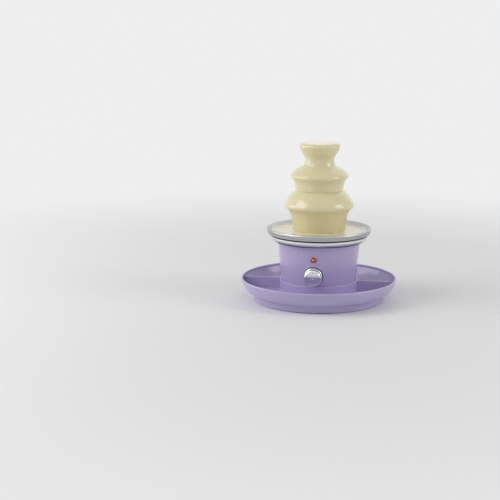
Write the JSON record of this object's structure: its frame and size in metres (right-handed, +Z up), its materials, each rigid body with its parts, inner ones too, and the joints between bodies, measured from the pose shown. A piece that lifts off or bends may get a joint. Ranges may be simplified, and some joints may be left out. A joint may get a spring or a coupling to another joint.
{
  "type": "chocolate fountain",
  "caption": "Free-standing chocolate fountain: dished serving tray, tapered motor base with a heated steel bowl, and a tiered tower whose auger lifts the chocolate.",
  "frame": {"origin": "on the table, at the foot of the tower's axis", "axes": "+Z up along the tower's axis, -Y to the front with the knob and the indicator"},
  "size_m": [0.3, 0.3, 0.3049],
  "materials": {
    "lavender": "smooth moulded lavender, slight gloss",
    "rubber": "matt black",
    "steel_bowl": "satin stainless",
    "silver_trim": "bright silver",
    "knob_silver": "polished silver face, grooved side",
    "pointer": "grey line",
    "white_plastic": "white food-safe plastic",
    "chocolate": null,
    "red_lens": "clear red",
    "bulb": "clear glass",
    "screw_steel": "zinc plated",
    "shaft_steel": "ground steel",
    "brass": "machined",
    "silicone": "pale silicone",
    "element": "oxidised sheath",
    "aluminium": "plain sheet",
    "dark_plastic": "moulded",
    "pale_plastic": "moulded",
    "gearbox_plastic": "moulded",
    "nylon": "natural nylon",
    "motor_steel": "drawn can",
    "rotor_copper": "lacquered windings on steel"
  },
  "bodies": {
    "tray": {"serving_tray": "lavender", "tray_pads": "rubber"},
    "base": {"motor_housing": "lavender", "base_plate": "lavender", "base_feet": "rubber", "base_screws": "screw_steel", "trim_seal": "rubber", "trim_ring": "silver_trim", "bowl_seal": "rubber", "bowl": "steel_bowl", "bowl_gasket": "silicone", "shaft_bush": "brass", "shaft_seal": "silicone", "bush_nut": "screw_steel", "tower_studs": "steel_bowl", "heating_element": "element", "heater_plate": "aluminium", "tie_rods": "screw_steel", "thermostat": "dark_plastic", "thermal_fuse": "pale_plastic", "gearbox_case": "gearbox_plastic", "gearbox_lid": "gearbox_plastic", "gearbox_screws": "screw_steel", "idler_pin": "shaft_steel", "motor_can": "motor_steel", "motor_end_cap": "dark_plastic", "motor_magnets": "dark_plastic", "chocolate_pool": "chocolate", "selector_switch": "dark_plastic", "switch_nut": "screw_steel", "indicator_lens": "red_lens", "indicator_bulb": "bulb", "indicator_nut": "pale_plastic", "terminal_block": "pale_plastic", "cord_gland": "rubber"},
    "drive": {"output_gear": "nylon", "drive_shaft": "shaft_steel", "drive_pin": "screw_steel", "auger": "white_plastic"},
    "idler": {"compound_gear": "nylon"},
    "rotor": {"motor_rotor": "rotor_copper", "motor_pinion": "brass"},
    "tower": {"tower_tube": "white_plastic", "lower_tier": "white_plastic", "middle_tier": "white_plastic", "crown": "white_plastic", "lower_curtain": "chocolate", "middle_curtain": "chocolate", "crown_flow": "chocolate"},
    "knob": {"selector_knob": "knob_silver", "knob_pointer": "pointer", "switch_spindle": "shaft_steel"}
  },
  "joints": [
    {"name": "base_lift", "type": "slide", "parent": "tray", "child": "base", "axis": [0, 0, 1], "range_m": [0, 0.06]},
    {"name": "tower_lift", "type": "slide", "parent": "base", "child": "tower", "axis": [0, 0, 1], "range_m": [0, 0.2]},
    {"name": "auger_spin", "type": "hinge", "parent": "base", "child": "drive", "pos_m": [0, 0, 0.05], "axis": [0, 0, 1], "continuous": true},
    {"name": "idler_spin", "type": "hinge", "parent": "base", "child": "idler", "pos_m": [0, 0.035, 0.04], "axis": [0, 0, 1], "continuous": true},
    {"name": "rotor_spin", "type": "hinge", "parent": "base", "child": "rotor", "pos_m": [-0.02757, 0.03014, 0.045], "axis": [0, 0, 1], "continuous": true},
    {"name": "knob_turn", "type": "hinge", "parent": "base", "child": "knob", "pos_m": [0, -0.07354, 0.0586], "axis": [0, -0.9957, -0.0922], "range_deg": [-120, 0]}
  ],
  "couplings": [
    {"joint": "idler_spin", "follows": "auger_spin", "ratio": -4},
    {"joint": "rotor_spin", "follows": "auger_spin", "ratio": 12}
  ]
}
